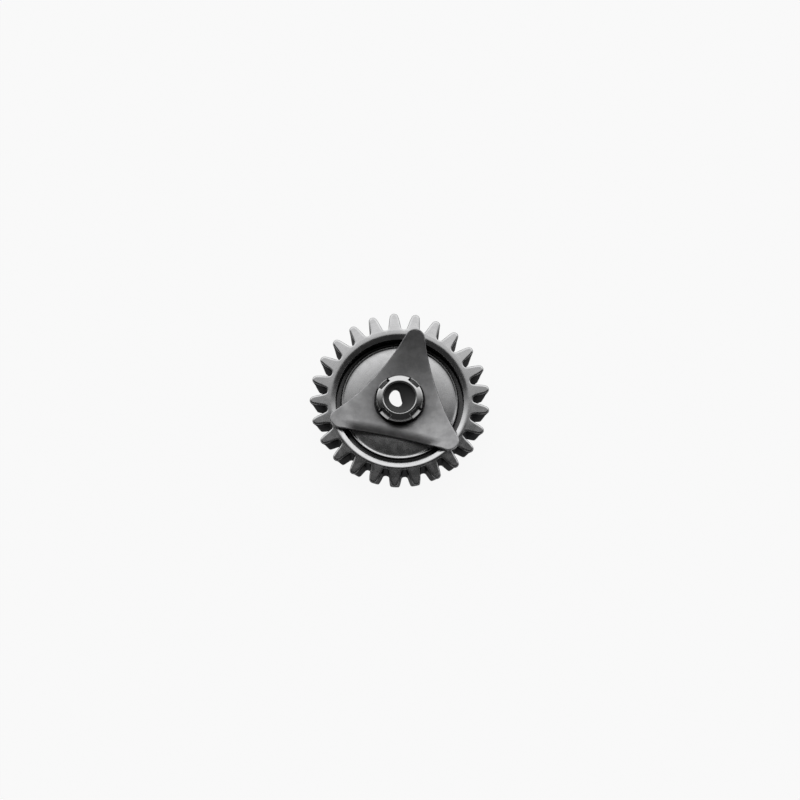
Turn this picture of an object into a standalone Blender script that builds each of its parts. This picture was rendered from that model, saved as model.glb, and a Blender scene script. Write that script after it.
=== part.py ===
"""Minute pinion of a watch: a 25-tooth driving wheel that slips on a riveted hub under a three-cornered
friction spring. Metres, +Z up, origin on the axis at the wheel's flat underside."""

import math

import bmesh
import bpy
from mathutils import Vector

MM = 0.001

# Toothing
TEETH = 25
MODULE = 0.13 * MM
ADDENDUM = 0.175 * MM
DEDENDUM = 0.170 * MM
TOOTH_THICKNESS = 0.214 * MM  # along the pitch line
TOOTH_TIP_ROUND = 0.084 * MM
TOOTH_FLANK_RADIUS = 0.80 * MM
TOOTH_ROOT_FILLET = 0.055 * MM
TOOTH_PHASE = math.radians(7.4)

# Wheel, widths inwards from the tooth roots
WHEEL_HEIGHT = 0.60 * MM  # underside to the tooth tips' upper edge
CREST_RISE = 0.045 * MM  # crest of the rim above that edge
CREST_INSET = 0.045 * MM
CREST_ROUND = 0.100 * MM
LIP_WIDTH = 0.130 * MM
LIP_DROP = 0.080 * MM
GROOVE_WIDTH = 0.112 * MM
GROOVE_DEPTH = 0.120 * MM  # below the edge of the web
WEB_DROP = 0.200 * MM  # tips' upper edge down to the edge of the web
WEB_CROWN = 0.045 * MM
WEB_BEAD_HEIGHT = 0.016 * MM
WEB_BEAD_WIDTH = 0.040 * MM
TIP_CHAMFER = 0.018 * MM
TIP_DRAW = 0.135 * MM  # how far the tooth tips draw in from their upper edge to the underside
RECESS_DEPTH = 0.100 * MM

# Hub
BORE_RADIUS = 0.312 * MM
NECK_WALL = 0.094 * MM
LOBE_OVERHANG = 0.084 * MM
HEAD_RISE = 0.285 * MM  # head's top above the spring's middle
HEAD_SHOULDER = 0.180 * MM  # where the head's wall turns into its crown, above the spring
MOUTH_CHAMFER = 0.028 * MM
NOTCHES = 4
NOTCH_WIDTH = 0.250 * MM
NOTCH_PHASE = math.radians(47.5)
SEAT_WIDTH = 0.134 * MM  # the seat that the wheel turns on, past the neck
FLANGE_WIDTH = 0.140 * MM
FLANGE_THICKNESS = 0.070 * MM
EXIT_RADIUS = 0.400 * MM
EXIT_DEPTH = 0.250 * MM
THROAT_RADIUS = 0.205 * MM
THROAT_LENGTH = 0.120 * MM
THROAT_DEPTH = 0.070 * MM  # below the head's top
LEDGE_FALL = 0.030 * MM
GRIP_OFFSET = 0.045 * MM  # the grip's flat, from the axis
GRIP_ANGLE = math.radians(14)
GRIP_ROUND = 0.090 * MM

# Spring
SPRING_THICKNESS = 0.060 * MM
SPRING_ARMS = 3
SPRING_PHASE = math.radians(77.8)
SPRING_OVERLAP = 0.080 * MM  # how far the tips reach past the rim's crest
SPRING_TIP_ROUND = 0.200 * MM
SPRING_WAIST = 0.744 * MM  # middle of a side, from the middle of the sheet
SPRING_OFF_CENTRE = (0.034 * MM, -0.016 * MM)  # the sheet against its hole
SPRING_DISH = 0.206 * MM  # rise from the clamped middle to the crest
SPRING_CLAMP_WIDTH = 0.030 * MM
SPRING_EDGE_DROP = 0.030 * MM
SPRING_EDGE_WIDTH = 0.160 * MM
SPRING_EDGE_ROUND = 0.016 * MM
COUNTERSINK_WIDTH = 0.100 * MM

# Fits
RUNNING_GAP = 0.010 * MM
SEAT_GAP = 0.008 * MM

# Facets
TURNED_STEPS = 100
ARC_STEPS = 5
FLANK_STEPS = 3
SPRING_SIDE_STEPS = 22

# Worked out
PITCH_RADIUS = MODULE * TEETH / 2
TIP_RADIUS = PITCH_RADIUS + ADDENDUM
ROOT_RADIUS = PITCH_RADIUS - DEDENDUM
CREST_RADIUS = ROOT_RADIUS - CREST_INSET
CREST_Z = WHEEL_HEIGHT + CREST_RISE
LIP_RADIUS = CREST_RADIUS - LIP_WIDTH
LIP_Z = CREST_Z - LIP_DROP
WEB_RADIUS = LIP_RADIUS - GROOVE_WIDTH
WEB_EDGE_Z = WHEEL_HEIGHT - WEB_DROP
GROOVE_Z = WEB_EDGE_Z - GROOVE_DEPTH
NECK_RADIUS = BORE_RADIUS + NECK_WALL
LOBE_RADIUS = NECK_RADIUS + LOBE_OVERHANG
SEAT_RADIUS = NECK_RADIUS + SEAT_WIDTH
FLANGE_RADIUS = SEAT_RADIUS + FLANGE_WIDTH
WEB_HOLE_RADIUS = SEAT_RADIUS + RUNNING_GAP
RECESS_RADIUS = FLANGE_RADIUS + RUNNING_GAP * 4
SPRING_REACH = CREST_RADIUS + SPRING_OVERLAP
SPRING_HOLE_RADIUS = NECK_RADIUS + SEAT_GAP
SPRING_CREST_Z = CREST_Z + RUNNING_GAP  # underside of the spring over the crest
SPRING_SEAT_Z = SPRING_CREST_Z - SPRING_DISH
SPRING_TOP_Z = SPRING_SEAT_Z + SPRING_THICKNESS
SPRING_FLAT_RADIUS = SPRING_HOLE_RADIUS + COUNTERSINK_WIDTH + SPRING_CLAMP_WIDTH
HEAD_TOP_Z = SPRING_TOP_Z + HEAD_RISE
HEAD_SHOULDER_Z = SPRING_TOP_Z + HEAD_SHOULDER
SHOULDER_Z = SPRING_SEAT_Z - SEAT_GAP
FLANGE_TOP_Z = RECESS_DEPTH - RUNNING_GAP
FLANGE_BOTTOM_Z = FLANGE_TOP_Z - FLANGE_THICKNESS


def new_collection(name, shown):
    collection = bpy.data.collections.new(name)
    bpy.context.scene.collection.children.link(collection)
    collection.hide_render = not shown
    return collection


def new_material(name, colour, roughness):
    material = bpy.data.materials.new(name)
    material.use_nodes = True
    shader = material.node_tree.nodes["Principled BSDF"]
    shader.inputs["Base Color"].default_value = (*colour, 1)
    shader.inputs["Roughness"].default_value = roughness
    shader.inputs["Metallic"].default_value = 1.0
    return material


def mesh_object(name, mesh, collection):
    piece = bpy.data.objects.new(name, mesh)
    collection.objects.link(piece)
    if collection.hide_render:
        piece.hide_render = True
        piece.display_type = "WIRE"
    return piece


def arc(centre, radius, start, end, steps=ARC_STEPS):
    """Points on a circle from one angle to another, both ends included."""
    angles = [start + (end - start) * i / steps for i in range(steps + 1)]
    return [(centre[0] + radius * math.cos(a), centre[1] + radius * math.sin(a)) for a in angles]


def turned(name, profile, collection):
    """A solid of revolution about Z. The profile is (radius, height), downwards on its outer side."""
    mesh = bpy.data.meshes.new(name)
    count = len(profile)
    on_axis = profile[0][0] == 0
    edges = [(i, (i + 1) % count) for i in range(count - 1 if on_axis else count)]
    mesh.from_pydata([(r, 0, z) for r, z in profile], edges, [])
    piece = mesh_object(name, mesh, collection)
    screw = piece.modifiers.new("Turned", "SCREW")
    screw.axis = "Z"
    screw.angle = math.tau
    screw.steps = TURNED_STEPS
    screw.render_steps = TURNED_STEPS
    screw.use_merge_vertices = True
    screw.merge_threshold = 1e-8
    screw.use_smooth_shade = True
    return piece


def prism(name, outline, bottom, top, collection, lower_outline=None):
    """An outline in X and Y drawn up between two heights, from a like outline below when one is given."""
    shape = bmesh.new()
    lower = [shape.verts.new((x, y, bottom)) for x, y in lower_outline or outline]
    upper = [shape.verts.new((x, y, top)) for x, y in outline]
    count = len(outline)
    for i in range(count):
        j = (i + 1) % count
        shape.faces.new((lower[i], lower[j], upper[j], upper[i]))
    shape.faces.new(reversed(lower))
    shape.faces.new(upper)
    bmesh.ops.recalc_face_normals(shape, faces=shape.faces[:])
    mesh = bpy.data.meshes.new(name)
    shape.to_mesh(mesh)
    shape.free()
    return mesh_object(name, mesh, collection)


def combine(piece, other, operation):
    modifier = piece.modifiers.new(other.name, "BOOLEAN")
    modifier.operation = operation
    modifier.object = other
    modifier.solver = "EXACT"


def circles_meet(centre_a, radius_a, centre_b, radius_b):
    """The two points where two circles cross."""
    a, b = Vector(centre_a), Vector(centre_b)
    span = (b - a).length
    along = (radius_a**2 - radius_b**2 + span**2) / (2 * span)
    across = math.sqrt(max(radius_a**2 - along**2, 0))
    unit = (b - a) / span
    side = Vector((-unit.y, unit.x))
    middle = a + unit * along
    return middle + side * across, middle - side * across


def half_tooth():
    """Right half of one tooth, tip to root, with X across the tooth and Y outwards along it."""
    tip_centre = Vector((0, TIP_RADIUS - TOOTH_TIP_ROUND))
    half = TOOTH_THICKNESS / 2
    pitch_point = Vector((half, math.sqrt(PITCH_RADIUS**2 - half**2)))
    crossings = circles_meet(tip_centre, TOOTH_FLANK_RADIUS - TOOTH_TIP_ROUND, pitch_point, TOOTH_FLANK_RADIUS)
    flank_centre = min(crossings, key=lambda point: point.x)
    meeting = tip_centre - flank_centre
    flank_start = math.atan2(meeting.y, meeting.x)
    at_pitch = pitch_point - flank_centre
    flank_end = math.atan2(at_pitch.y, at_pitch.x)
    points = arc(tip_centre, TOOTH_TIP_ROUND, math.pi / 2, flank_start)
    points += arc(flank_centre, TOOTH_FLANK_RADIUS, flank_start, flank_end, FLANK_STEPS)[1:]

    # Below the pitch line the flank runs on straight, into a fillet that meets the root circle.
    outward = at_pitch.normalized()
    downward = Vector((outward.y, -outward.x))
    fillet_line = pitch_point + outward * TOOTH_ROOT_FILLET
    reach = ROOT_RADIUS + TOOTH_ROOT_FILLET
    drop = -fillet_line.dot(downward)
    drop -= math.sqrt(max(drop**2 - fillet_line.length_squared + reach**2, 0))
    fillet_centre = fillet_line + downward * drop
    start = math.atan2(-outward.y, -outward.x)
    end = math.atan2(-fillet_centre.y, -fillet_centre.x)
    points += arc(fillet_centre, TOOTH_ROOT_FILLET, start, end, FLANK_STEPS)
    return points


def toothed_outline(height):
    """All the teeth at one height, anticlockwise, as points in X and Y. They draw in below their upper edge."""
    right = half_tooth()
    left = [(-x, y) for x, y in reversed(right[1:])]
    outline = []
    for tooth in range(TEETH):
        turn = TOOTH_PHASE + math.tau * tooth / TEETH - math.pi / 2
        c, s = math.cos(turn), math.sin(turn)
        outline += [(x * c - y * s, x * s + y * c) for x, y in reversed(left + right)]
    drawn_in = []
    for x, y in outline:
        radius = math.hypot(x, y)
        out = (radius - ROOT_RADIUS) / (TIP_RADIUS - ROOT_RADIUS)
        draw = TIP_DRAW * out * (1 - height / WHEEL_HEIGHT)
        drawn_in.append((x * (1 - draw / radius), y * (1 - draw / radius)))
    return drawn_in


def web_top():
    """The web from its edge to its hole: a low bead at the edge, then a shallow crown."""
    inner = WEB_RADIUS - 2 * WEB_BEAD_WIDTH
    points = [(WEB_RADIUS, WEB_EDGE_Z - WEB_BEAD_HEIGHT / 2)]
    points.append((WEB_RADIUS - WEB_BEAD_WIDTH / 4, WEB_EDGE_Z))
    points.append((WEB_RADIUS - WEB_BEAD_WIDTH, WEB_EDGE_Z - WEB_BEAD_HEIGHT))
    for step in range(ARC_STEPS + 1):
        share = step / ARC_STEPS
        radius = inner + (WEB_HOLE_RADIUS - inner) * share
        points.append((radius, WEB_EDGE_Z - WEB_BEAD_HEIGHT + WEB_CROWN * (1 - (1 - share) ** 2)))
    return points


def driving_wheel(parts, cutters, material):
    """A turned blank with its rim, groove and web, cut to the toothed outline."""
    slope = math.atan2(CREST_RISE, TIP_RADIUS - CREST_RADIUS)
    lip_slope = math.atan2(LIP_DROP, LIP_WIDTH)
    crest_centre = (CREST_RADIUS, CREST_Z - CREST_ROUND)
    profile = arc(crest_centre, CREST_ROUND, math.pi / 2 + lip_slope, math.pi / 2 - slope)
    edge = TIP_RADIUS - TIP_CHAMFER
    clear = TIP_RADIUS + TIP_CHAMFER
    profile += [(edge, WHEEL_HEIGHT), (clear, WHEEL_HEIGHT + edge - clear), (clear, 0)]
    profile += [(RECESS_RADIUS, 0), (RECESS_RADIUS, RECESS_DEPTH), (WEB_HOLE_RADIUS, RECESS_DEPTH)]
    profile += reversed(web_top())
    profile += [(WEB_RADIUS, GROOVE_Z), (LIP_RADIUS, GROOVE_Z), (LIP_RADIUS, LIP_Z)]
    wheel = turned("driving_wheel", profile, parts)
    above, below = CREST_Z + CREST_RISE, -CREST_RISE
    teeth = prism("tooth_form", toothed_outline(above), below, above, cutters, toothed_outline(below))
    combine(wheel, teeth, "INTERSECT")
    wheel.data.materials.append(material)
    return wheel


def hub_profile():
    """The hub's outside, from the head's top to the flange's underside."""
    lobe_bottom = SPRING_SEAT_Z + SPRING_THICKNESS * LOBE_OVERHANG / COUNTERSINK_WIDTH
    crown_width = LOBE_RADIUS - BORE_RADIUS - MOUTH_CHAMFER
    crown_fall = HEAD_TOP_Z - HEAD_SHOULDER_Z
    profile = [(0, HEAD_TOP_Z)]
    for step in range(2 * ARC_STEPS + 1):
        angle = math.pi / 2 * (1 - step / (2 * ARC_STEPS))
        radius = LOBE_RADIUS - crown_width * (1 - math.cos(angle))
        profile.append((radius, HEAD_SHOULDER_Z + crown_fall * math.sin(angle)))
    profile += [(LOBE_RADIUS, lobe_bottom + SEAT_GAP), (NECK_RADIUS, SPRING_SEAT_Z + SEAT_GAP)]
    profile += [(NECK_RADIUS, SHOULDER_Z), (SEAT_RADIUS, SHOULDER_Z)]
    profile += [(SEAT_RADIUS, FLANGE_TOP_Z), (FLANGE_RADIUS, FLANGE_TOP_Z)]
    profile += [(FLANGE_RADIUS, FLANGE_BOTTOM_Z), (0, FLANGE_BOTTOM_Z)]
    return profile


def throat_outline():
    """A round hole with one side pressed in flat, its two corners rounded."""
    inset = GRIP_OFFSET - GRIP_ROUND
    rise = math.sqrt((THROAT_RADIUS - GRIP_ROUND) ** 2 - inset**2)
    turn = math.atan2(rise, inset)
    points = arc((0, 0), THROAT_RADIUS, turn, math.tau - turn, 4 * ARC_STEPS)
    points += arc((inset, -rise), GRIP_ROUND, -turn, 0)[1:]
    points += arc((inset, rise), GRIP_ROUND, 0, turn)[:-1]
    c, s = math.cos(GRIP_ANGLE), math.sin(GRIP_ANGLE)
    return [(x * c - y * s, x * s + y * c) for x, y in points]


def bore_cutters(cutters):
    """The bore as it is made: opened from both ends, a throat left between, and one side of it pressed in."""
    above = HEAD_TOP_Z + MOUTH_CHAMFER
    below = FLANGE_BOTTOM_Z - EXIT_DEPTH
    throat_top = HEAD_TOP_Z - THROAT_DEPTH
    throat_bottom = throat_top - THROAT_LENGTH
    exit_top = FLANGE_BOTTOM_Z + EXIT_DEPTH
    upper = [(0, above), (BORE_RADIUS + 2 * MOUTH_CHAMFER, above), (BORE_RADIUS, HEAD_TOP_Z - MOUTH_CHAMFER)]
    upper += [(BORE_RADIUS, throat_top + LEDGE_FALL), (THROAT_RADIUS, throat_top), (0, throat_top)]
    lower = [(0, throat_bottom), (THROAT_RADIUS, throat_bottom), (BORE_RADIUS, throat_bottom - LEDGE_FALL)]
    lower += [(BORE_RADIUS, exit_top), (EXIT_RADIUS, exit_top), (EXIT_RADIUS, below), (0, below)]
    outline = throat_outline()
    margin = LEDGE_FALL / 2
    return [
        turned("upper_bore", upper, cutters),
        turned("lower_bore", lower, cutters),
        prism("throat", outline, throat_bottom - margin, throat_top + margin, cutters),
    ]


def notch_cutters(cutters):
    """The punch marks that leave four lobes on the riveted head."""
    inner, outer = NECK_RADIUS, LOBE_RADIUS + LOBE_OVERHANG
    half = NOTCH_WIDTH / 2
    found = []
    for notch in range(NOTCHES):
        turn = NOTCH_PHASE + math.tau * notch / NOTCHES
        c, s = math.cos(turn), math.sin(turn)
        corners = [(inner, -half), (outer, -half), (outer, half), (inner, half)]
        outline = [(x * c - y * s, x * s + y * c) for x, y in corners]
        top = HEAD_TOP_Z + MOUTH_CHAMFER
        found.append(prism(f"notch_{notch + 1}", outline, SPRING_SEAT_Z, top, cutters))
    return found


def hub(parts, cutters, material):
    piece = turned("riveted_hub", hub_profile(), parts)
    for cutter in bore_cutters(cutters) + notch_cutters(cutters):
        combine(piece, cutter, "DIFFERENCE")
    piece.data.materials.append(material)
    return piece


def spring_sides():
    """Direction, distance and half length of the straight line that each side bows in from."""
    half_sector = math.pi / SPRING_ARMS
    tip = SPRING_REACH - SPRING_TIP_ROUND
    middles = [SPRING_PHASE + half_sector * (2 * arm + 1) for arm in range(SPRING_ARMS)]
    normals = [Vector((math.cos(angle), math.sin(angle))) for angle in middles]
    return normals, tip * math.cos(half_sector) + SPRING_TIP_ROUND, tip * math.sin(half_sector)


def spring_outline():
    """Three rounded tips joined by sides that bow in a little, anticlockwise."""
    normals, straight, half_side = spring_sides()
    bow = straight - SPRING_WAIST
    lean = math.atan2(2 * bow, half_side)
    sector = math.tau / SPRING_ARMS
    tip = SPRING_REACH - SPRING_TIP_ROUND
    outline = []
    for arm, normal in enumerate(normals):
        middle = SPRING_PHASE + sector * arm
        centre = (tip * math.cos(middle), tip * math.sin(middle))
        turn = sector / 2 + lean
        outline += arc(centre, SPRING_TIP_ROUND, middle - turn, middle + turn, 2 * ARC_STEPS)
        start = Vector(outline[-1])
        along = Vector((-normal.y, normal.x))
        reach = -start.dot(along)
        edge = start.dot(normal)
        for step in range(1, SPRING_SIDE_STEPS):
            share = 2 * step / SPRING_SIDE_STEPS - 1
            point = along * (reach * share) + normal * (SPRING_WAIST + (edge - SPRING_WAIST) * share**2)
            outline.append((point.x, point.y))
    return [(x + SPRING_OFF_CENTRE[0], y + SPRING_OFF_CENTRE[1]) for x, y in outline]


def edge_distance(point):
    """How far a point of the sheet lies inside the nearest of its long sides."""
    normals, straight, half_side = spring_sides()
    placed = point - Vector(SPRING_OFF_CENTRE)
    found = []
    for normal in normals:
        along = placed.dot(Vector((-normal.y, normal.x)))
        bow = (straight - SPRING_WAIST) * max(1 - (along / half_side) ** 2, 0)
        found.append(straight - bow - placed.dot(normal))
    return min(found)


def spring_height(point):
    """Height of the spring's underside: flat where it is clamped, then a cone, its long sides rolled down."""
    radius = point.length
    slope = SPRING_DISH / (CREST_RADIUS - SPRING_FLAT_RADIUS)
    rise = slope * max(radius - SPRING_FLAT_RADIUS, 0)
    roll = max(1 - edge_distance(point) / SPRING_EDGE_WIDTH, 0)
    room = min(max((LIP_RADIUS - radius) / SPRING_EDGE_WIDTH, 0), 1)
    return SPRING_SEAT_Z + rise - SPRING_EDGE_DROP * min(roll, 1) ** 2 * room


def friction_spring(parts, cutters, material):
    """One stamped sheet: a loft from its round hole out to its three-cornered edge, dished and thickened."""
    outline = spring_outline()
    count = len(outline)
    rings = (0, 0.10, 0.22, 0.36, 0.50, 0.64, 0.76, 0.86, 0.94, 1)
    shape = bmesh.new()
    grid = []
    for share in rings:
        ring = []
        for x, y in outline:
            angle = math.atan2(y, x)
            hole = Vector((math.cos(angle), math.sin(angle))) * SPRING_HOLE_RADIUS
            point = hole.lerp(Vector((x, y)), share)
            ring.append(shape.verts.new((point.x, point.y, spring_height(point))))
        grid.append(ring)
    for inner, outer in zip(grid, grid[1:]):
        for i in range(count):
            j = (i + 1) % count
            shape.faces.new((inner[i], outer[i], outer[j], inner[j]))
    mesh = bpy.data.meshes.new("friction_spring")
    shape.to_mesh(mesh)
    shape.free()
    spring = mesh_object("friction_spring", mesh, parts)
    sheet = spring.modifiers.new("Sheet", "SOLIDIFY")
    sheet.thickness = SPRING_THICKNESS
    sheet.offset = 1
    edges = spring.modifiers.new("Edges", "BEVEL")
    edges.width = SPRING_EDGE_ROUND
    edges.segments = 2
    edges.limit_method = "ANGLE"
    edges.angle_limit = math.radians(50)
    wide = SPRING_HOLE_RADIUS + COUNTERSINK_WIDTH
    over = 2 * COUNTERSINK_WIDTH
    run = SPRING_THICKNESS * over / COUNTERSINK_WIDTH
    profile = [(0, SPRING_TOP_Z + run), (wide + over, SPRING_TOP_Z + run)]
    profile += [(SPRING_HOLE_RADIUS, SPRING_SEAT_Z), (0, SPRING_SEAT_Z)]
    combine(spring, turned("countersink", profile, cutters), "DIFFERENCE")
    spring.data.materials.append(material)
    return spring


def build():
    for item in list(bpy.data.objects):
        bpy.data.objects.remove(item, do_unlink=True)
    parts = new_collection("minute_pinion", True)
    cutters = new_collection("cutters", False)
    driving_wheel(parts, cutters, new_material("wheel_steel", (0.42, 0.42, 0.43), 0.25))
    hub(parts, cutters, new_material("hub_steel", (0.50, 0.50, 0.50), 0.18))
    friction_spring(parts, cutters, new_material("spring_steel", (0.34, 0.34, 0.35), 0.32))


build()
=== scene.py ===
"""Looks of a watch's minute pinion: the finely made surfaces of its wheel, hub and spring, their steels,
a pale floor, studio light and the camera. Lengths are written in millimetres and made in metres."""

import math

import bmesh
import bpy
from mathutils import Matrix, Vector


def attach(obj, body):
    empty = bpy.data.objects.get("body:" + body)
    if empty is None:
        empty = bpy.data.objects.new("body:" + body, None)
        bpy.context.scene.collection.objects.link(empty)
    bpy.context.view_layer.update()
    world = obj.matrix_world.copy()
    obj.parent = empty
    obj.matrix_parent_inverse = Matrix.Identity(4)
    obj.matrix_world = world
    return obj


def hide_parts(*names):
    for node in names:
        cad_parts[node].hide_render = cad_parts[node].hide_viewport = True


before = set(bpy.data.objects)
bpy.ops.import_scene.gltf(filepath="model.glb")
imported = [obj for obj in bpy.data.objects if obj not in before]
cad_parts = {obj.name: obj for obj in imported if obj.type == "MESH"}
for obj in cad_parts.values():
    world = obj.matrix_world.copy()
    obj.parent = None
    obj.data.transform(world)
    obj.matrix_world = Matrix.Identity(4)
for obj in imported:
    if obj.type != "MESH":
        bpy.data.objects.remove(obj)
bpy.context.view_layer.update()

MM = 0.001

# Meshes
WELD_DISTANCE = 0.00005
SLIVER_LENGTH = 0.00001
FACE_WEIGHT = 90  # how strongly the large faces set the smoothed directions

# Toothing
TEETH = 25
PITCH_RADIUS = 1.625
TIP_RADIUS = 1.800
ROOT_RADIUS = 1.455
TOOTH_THICKNESS = 0.214
TIP_ROUND = 0.084
FLANK_RADIUS = 0.80
ROOT_FILLET = 0.055
TOOTH_PHASE = math.radians(7.4)
TIP_CHAMFER = 0.018
TIP_DRAW = 0.130
TIP_CORNER = 0.070
TIP_CORNER_GROWTH = 4  # the corner is full when one part in four of the way down is done
TOOTH_EDGE_ROUND = 0.038
ROOT_EDGE_ROUND = 0.018
UNDERSIDE_EDGE_ROUND = 0.014
TIP_STEPS = 9
FLANK_STEPS = 6
STRAIGHT_STEPS = 4
FILLET_STEPS = 7
GAP_STEPS = 3
FACE_STEPS = 6  # on each side of a tooth's middle
UPPER_EDGE_STEPS = 5
WALL_STEPS = 6
LOWER_EDGE_STEPS = 4

# Wheel
WHEEL_HEIGHT = 0.60
CREST_RADIUS = 1.388
CREST_Z = 0.645
CREST_ROUND = 0.100
LIP_RADIUS = 1.280
LIP_Z = 0.600
RIM_OFFSET = -0.030  # the turned rim stands a little off the teeth's middle
WEB_RADIUS = 1.168
WEB_EDGE_Z = 0.400
GROOVE_Z = 0.280
WEB_CROWN = 0.045
BEAD_WIDTH = 0.026
BEAD_HEIGHT = 0.011
WEB_HOLE_RADIUS = 0.550
RECESS_RADIUS = 0.720
RECESS_DEPTH = 0.100
RECESS_ROUND = 0.012
HOLE_ROUND = 0.006
HOLE_LAND = 0.020  # flat ring round the web's hole
WEB_EDGE_LAND = 0.014  # flat ring outside the bead
WEB_EDGE_ROUND = 0.010
GROOVE_ROUND = 0.020
LIP_ROUND = 0.016
WEB_STEPS = 14
BEAD_STEPS = 8
CREST_STEPS = 10
LIP_SHARES = (0.33, 0.66)
RIM_SHARES = (0.3, 0.6, 1)

# Spring
SPRING_THICKNESS = 0.060
SPRING_ARMS = 3
SPRING_PHASE = math.radians(77.8)
SPRING_CREST_RADIUS = 1.410
SPRING_REACH = 1.490
SPRING_TIP_ROUND = 0.200
SPRING_WAIST = 0.744
SPRING_OFF_CENTRE = Vector((0.034, -0.016))
SPRING_HOLE_RADIUS = 0.414
SPRING_SEAT_Z = 0.474
SPRING_DISH = 0.196
SPRING_CUP = 1.2  # the smaller, the more the dish steepens outwards
COUNTERSINK_WIDTH = 0.100
SPRING_EDGE_DROPS = (0.012, 0.065, 0.012)  # left, front and right side
SPRING_EDGE_WIDTH = 0.200
SPRING_EDGE_ROUND = 0.024
SPRING_EDGE_FULLNESS = 0.7  # below 1, the edge is fuller than a half circle
SPRING_TIP_STEPS = 26
SPRING_SIDE_STEPS = 30  # on each side of a waist
SPRING_EDGE_STEPS = 12
SHEET_ROWS = 44
SHEET_SPACING = 1.15  # above 1, the rows lie closer near the hole

# Hub
BORE_RADIUS = 0.312
NECK_RADIUS = 0.380
LOBE_RADIUS = 0.490
HEAD_TOP_Z = 0.794
HEAD_SHOULDER_Z = 0.715
MOUTH_CHAMFER = 0.028
NOTCHES = 4
NOTCH_WIDTH = 0.250
NOTCH_PHASE = math.radians(47.5)
NOTCH_FLOOR_Z = 0.645
NOTCH_FLOOR_RISE = 0.021
CROWN_BEND = Vector((0.450, 0.766))
SEAT_RADIUS = 0.540
SEAT_TOP_Z = 0.466
FLANGE_RADIUS = 0.680
FLANGE_TOP_Z = 0.090
FLANGE_BOTTOM_Z = 0.020
EXIT_RADIUS = 0.400
EXIT_TOP_Z = 0.270
THROAT_RADIUS = 0.200
THROAT_OFFSET = Vector((-0.014, 0.018))
THROAT_EDGE = 0.030
THROAT_TOP_Z = 0.724
THROAT_BOTTOM_Z = 0.604
LEDGE_FALL = 0.030
GRIP_OFFSET = 0.038
GRIP_ANGLE = math.radians(14)
GRIP_ROUND = 0.090
THROAT_LIPS = ((0.010, 0), (0.003, 0.003), (0, 0.010))  # how far out and how far in from the throat's ends
SPRING_CLEARANCE = 0.008
CROWN_ROUND = 0.060
CROWN_STEPS = 8
CROWN_SHARES = (0.25, 0.5, 0.75)
SHOULDER_ROUND = 0.016
WALL_SHARES = (0.33, 0.66)
NOTCH_FLOOR_FALL = 0.012
NOTCH_FLOOR_SHARES = (0.04, 0.3, 0.55, 0.8, 0.93, 1)
LOBE_WALL_SHARES = (0.02, 0.5, 1)
LOBE_UNDERCUT_SHARE = 0.93  # of the lobes' radius
LOBE_UNDERCUT_DEPTH = 0.030
NOTCH_INNER_ROUND = 0.016
NOTCH_OUTER_ROUND = 0.014
NOTCH_ROUND_DEPTH = 0.040  # the notches' roundings fade out where they are shallower than this
NOTCH_STEPS = {"flat": 8, "inner": 4, "side": 3, "outer": 5}
LOBE_STEPS = 30
CORNER_SHARE = 0.02  # of half a lobe's angle, for each corner and side where the notch doesn't cut
NECK_ROUND = 0.004
SEAT_ROUND = 0.008
TURNED_ROUND = 0.010
MOUTH_ROUND = 0.008
MOUTH_SHARE = 0.9  # how much of the mouth's chamfer is cut before its edge is broken
MOUTH_DROP = 0.001
INSIDE_NECK = 0.999  # a circle just small enough to miss the notches

# Steels and board, as red, green, blue and alpha
WHEEL_DARKER = (0.58, 0.58, 0.585, 1)
WHEEL_LIGHTER = (0.72, 0.72, 0.725, 1)
# Near black painted shade for the wheel's steep flanks and its groove
WHEEL_PAINTED_SHADE = (0.020, 0.020, 0.021, 1)
WHEEL_EDGE_TINT = 0.25
HUB_POLISHED = (0.62, 0.62, 0.62, 1)
# Near black painted shade for the hub's outer wall and its bore
HUB_PAINTED_SHADE = (0.08, 0.08, 0.08, 1)
SPRING_DARKER = (0.40, 0.40, 0.405, 1)
SPRING_LIGHTER = (0.54, 0.54, 0.545, 1)
SATIN_EDGE_TINT = 0.6
BOARD_DARKER = (0.93, 0.93, 0.93, 1)
BOARD_LIGHTER = (0.95, 0.95, 0.95, 1)
BOARD_ROUGHNESS = 0.8
BOARD_WHITE_SHARE = 0.92  # of the board as the camera and polished metal see it

# Patterns in the steels
WHEEL_LINES = 24  # turning lines to a millimetre
WHEEL_LINE_WAVER = 0.7  # how fast they change on their way round
HUB_LINES = 30
HUB_WALL_LINES = 12
ROLLED_ALONG = (1.6, 2.4)  # how fast the rolling grain changes in x and in y, along it and across it
ROLLED_ACROSS = (14, 9)
FLANK_SHADE_SHARE = 0.90  # how far the steep flanks take on the painted shade
GROOVE_WALL_SHADE_LESS = 0.15  # by how much less the groove's walls take on the flanks' painted shade
# how far the groove, a recess, takes on the painted shade
GROOVE_SHADE_SHARE = 0.72
HEAD_WALL_SHADE_SHARE = 0.94  # how far the head's outer wall takes on the painted shade

# Light and floor
CEILING_LIGHT = 0.030
BACK_LIGHT = 1.15
HORIZON_LIGHT = 0.08
FLOOR_SIZE = 600
FLOOR_DROP = 0.002

# View
ELEVATION = math.radians(74.5)
FRAME_WIDTH = 16.0  # at the teeth's upper edge
LENS = 500.0
SENSOR = 36.0
AIM_OFFSET = 0.006  # the axis stands this far left of the picture's middle, and above it
NEAR_CLIP = 10
FAR_CLIP = 5000


def polar(radius, angle):
    return Vector((radius * math.cos(angle), radius * math.sin(angle)))


def arc(centre, radius, start, end, steps):
    """Points on a circle with their directions from its centre."""
    angles = [start + (end - start) * i / steps for i in range(steps + 1)]
    return [(Vector(centre) + polar(radius, a), polar(1, a)) for a in angles]


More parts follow.
